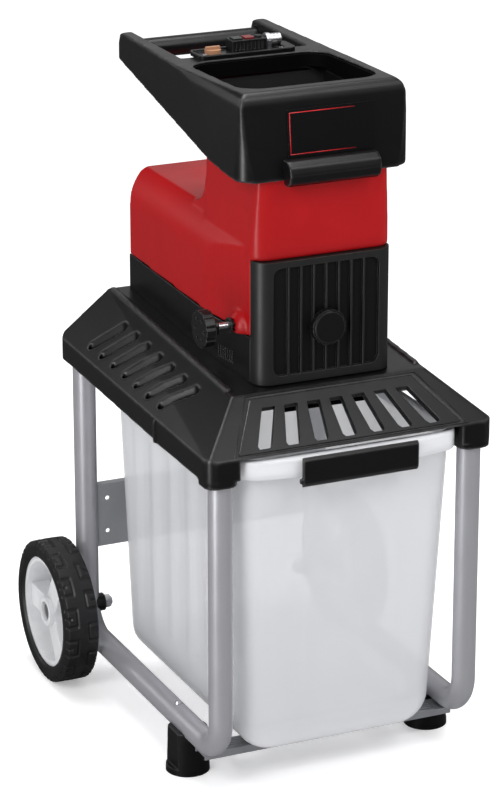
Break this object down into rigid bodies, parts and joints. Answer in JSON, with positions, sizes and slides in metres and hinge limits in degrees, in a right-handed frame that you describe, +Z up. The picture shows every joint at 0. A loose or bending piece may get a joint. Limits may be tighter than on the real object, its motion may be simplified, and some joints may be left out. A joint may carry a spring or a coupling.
{
  "type": "wood chipper",
  "caption": "Garden roller shredder: tube frame on two rear wheels, slotted tray, pull-out clear box, geared motor with blade roller under a sloping feed hopper.",
  "frame": {"origin": "middle of the footprint, on the floor between the feet and the wheels", "axes": "+Z up; -Y is the front, where the box pulls out and the cover and feed grip are; +X is to the right seen from the front"},
  "size_m": [0.506, 0.618, 0.953],
  "materials": {
    "frame_grey": "satin silver-grey powder coat",
    "zinc_plate": "satin silver-grey coat on pressed steel",
    "black_plastic": "satin black moulded plastic with fine grain",
    "grille_black": "smooth satin black plastic",
    "bright_steel": "bright zinc-plated steel",
    "tyre_black": "moulded black tread",
    "hub_grey": "silver-grey moulded plastic",
    "clear_box": "translucent frosted white plastic",
    "chute_black": "smooth black plastic",
    "housing_red": "satin red moulded plastic",
    "cover_grey": "dark grey satin plastic",
    "handle_black": "satin black handle tube",
    "label_black": "semi-gloss black label with a thin border line",
    "button_dark": "dark push button",
    "button_red": "red push button",
    "button_black": "black reset button",
    "selector_cream": "cream-orange selector",
    "inlet_metal": "bare metal collar",
    "cast_alloy": "sand-blasted cast alloy",
    "tool_steel": "ground tool steel",
    "gear_steel": "machined steel",
    "motor_steel": "stamped electrical steel",
    "copper_wire": "enamelled copper winding",
    "capacitor_white": "white plastic can"
  },
  "bodies": {
    "frame": {"front_tube_left": "frame_grey", "front_tube_right": "frame_grey", "rear_tube_left": "frame_grey", "rear_tube_right": "frame_grey", "front_crossbar": "zinc_plate", "box_rails": "zinc_plate", "rear_cross_plate": "zinc_plate", "front_foot_left": "black_plastic", "front_foot_right": "black_plastic", "frame_screws": "bright_steel", "axle_bolt_left": "bright_steel", "axle_bolt_right": "bright_steel", "axle_nuts": "bright_steel", "axle_spacers": "black_plastic", "tray": "black_plastic", "front_grille": "grille_black", "discharge_chute": "chute_black", "base_housing": "black_plastic", "upper_housing": "housing_red", "hopper": "black_plastic", "feed_throat": "chute_black", "carry_handle": "handle_black", "front_grip": "grille_black", "label_plate": "label_black", "control_panel": "black_plastic", "panel_screws": "bright_steel", "switch_block": "black_plastic", "power_inlet": "inlet_metal", "cutting_chamber": "cast_alloy", "roller_bearings": "bright_steel", "screw_bushing": "black_plastic", "gear_case": "cast_alloy", "gear_case_cover": "cast_alloy", "motor_can": "motor_steel", "motor_stator": "motor_steel", "motor_windings": "copper_wire", "motor_end_shield": "cast_alloy", "capacitor": "capacitor_white"},
    "left_wheel": {"tyre_left": "tyre_black", "hub_left": "hub_grey"},
    "right_wheel": {"tyre_right": "tyre_black", "hub_right": "hub_grey"},
    "box": {"collection_box": "clear_box"},
    "catch": {"box_catch": "grille_black"},
    "cover": {"front_cover": "cover_grey"},
    "cover_screw": {"cover_knob": "grille_black"},
    "adjuster": {"adjusting_knob": "grille_black", "adjusting_screw": "bright_steel"},
    "plate": {"pressure_plate": "tool_steel"},
    "rotor": {"motor_rotor": "gear_steel", "motor_fan": "black_plastic"},
    "first_shaft": {"first_gear_shaft": "gear_steel"},
    "second_shaft": {"second_gear_shaft": "gear_steel"},
    "roller": {"blade_roller": "tool_steel", "output_gear": "gear_steel"},
    "start_button": {"on_button": "button_dark"},
    "stop_button": {"off_button": "button_red"},
    "overload_button": {"reset_button": "button_black"},
    "selector": {"direction_knob": "selector_cream"}
  },
  "joints": [
    {"name": "left_wheel_spin", "type": "hinge", "parent": "frame", "child": "left_wheel", "pos_m": [-0.228, 0.206, 0.103], "axis": [1, 0, 0], "continuous": true},
    {"name": "right_wheel_spin", "type": "hinge", "parent": "frame", "child": "right_wheel", "pos_m": [0.228, 0.206, 0.103], "axis": [1, 0, 0], "continuous": true},
    {"name": "box_slide", "type": "slide", "parent": "frame", "child": "box", "axis": [0, -1, 0], "range_m": [0, 0.45]},
    {"name": "catch_lift", "type": "slide", "parent": "box", "child": "catch", "axis": [0, 0, 1], "range_m": [0, 0.012]},
    {"name": "cover_removal", "type": "slide", "parent": "frame", "child": "cover", "axis": [0, -1, 0], "range_m": [0, 0.12]},
    {"name": "cover_knob_turn", "type": "hinge", "parent": "cover", "child": "cover_screw", "pos_m": [0, -0.205, 0.621], "axis": [0, 1, 0], "range_deg": [0, 1080]},
    {"name": "adjuster_turn", "type": "hinge", "parent": "frame", "child": "adjuster", "pos_m": [-0.15, -0.148, 0.621], "axis": [1, 0, 0], "range_deg": [-720, 240]},
    {"name": "plate_feed", "type": "slide", "parent": "frame", "child": "plate", "axis": [1, 0, 0], "range_m": [-0.003, 0.001]},
    {"name": "rotor_spin", "type": "hinge", "parent": "frame", "child": "rotor", "pos_m": [0, 0.044, 0.668], "axis": [0, 1, 0], "continuous": true},
    {"name": "first_shaft_spin", "type": "hinge", "parent": "frame", "child": "first_shaft", "pos_m": [-0.02743, -0.04, 0.68448], "axis": [0, 1, 0], "continuous": true},
    {"name": "second_shaft_spin", "type": "hinge", "parent": "frame", "child": "second_shaft", "pos_m": [-0.03798, -0.05, 0.64074], "axis": [0, 1, 0], "continuous": true},
    {"name": "roller_spin", "type": "hinge", "parent": "frame", "child": "roller", "pos_m": [0.02, -0.126, 0.621], "axis": [0, 1, 0], "continuous": true},
    {"name": "start_press", "type": "slide", "parent": "frame", "child": "start_button", "axis": [0, 0, -1], "range_m": [0, 0.003], "stiffness_N_per_m": 300, "springref_m": -0.001},
    {"name": "stop_press", "type": "slide", "parent": "frame", "child": "stop_button", "axis": [0, 0, -1], "range_m": [0, 0.003], "stiffness_N_per_m": 300, "springref_m": -0.001},
    {"name": "overload_press", "type": "slide", "parent": "frame", "child": "overload_button", "axis": [0, 0, -1], "range_m": [0, 0.003], "stiffness_N_per_m": 300, "springref_m": -0.001},
    {"name": "selector_turn", "type": "hinge", "parent": "frame", "child": "selector", "pos_m": [-0.05, 0.051, 0.936], "axis": [0, 0, 1], "range_deg": [-45, 45]}
  ],
  "couplings": [
    {"joint": "adjuster_turn", "follows": "plate_feed", "rad_per_m": 4188.8},
    {"joint": "first_shaft_spin", "follows": "rotor_spin", "ratio": -0.14286},
    {"joint": "second_shaft_spin", "follows": "rotor_spin", "ratio": 0.035714},
    {"joint": "roller_spin", "follows": "rotor_spin", "ratio": -0.014286}
  ]
}
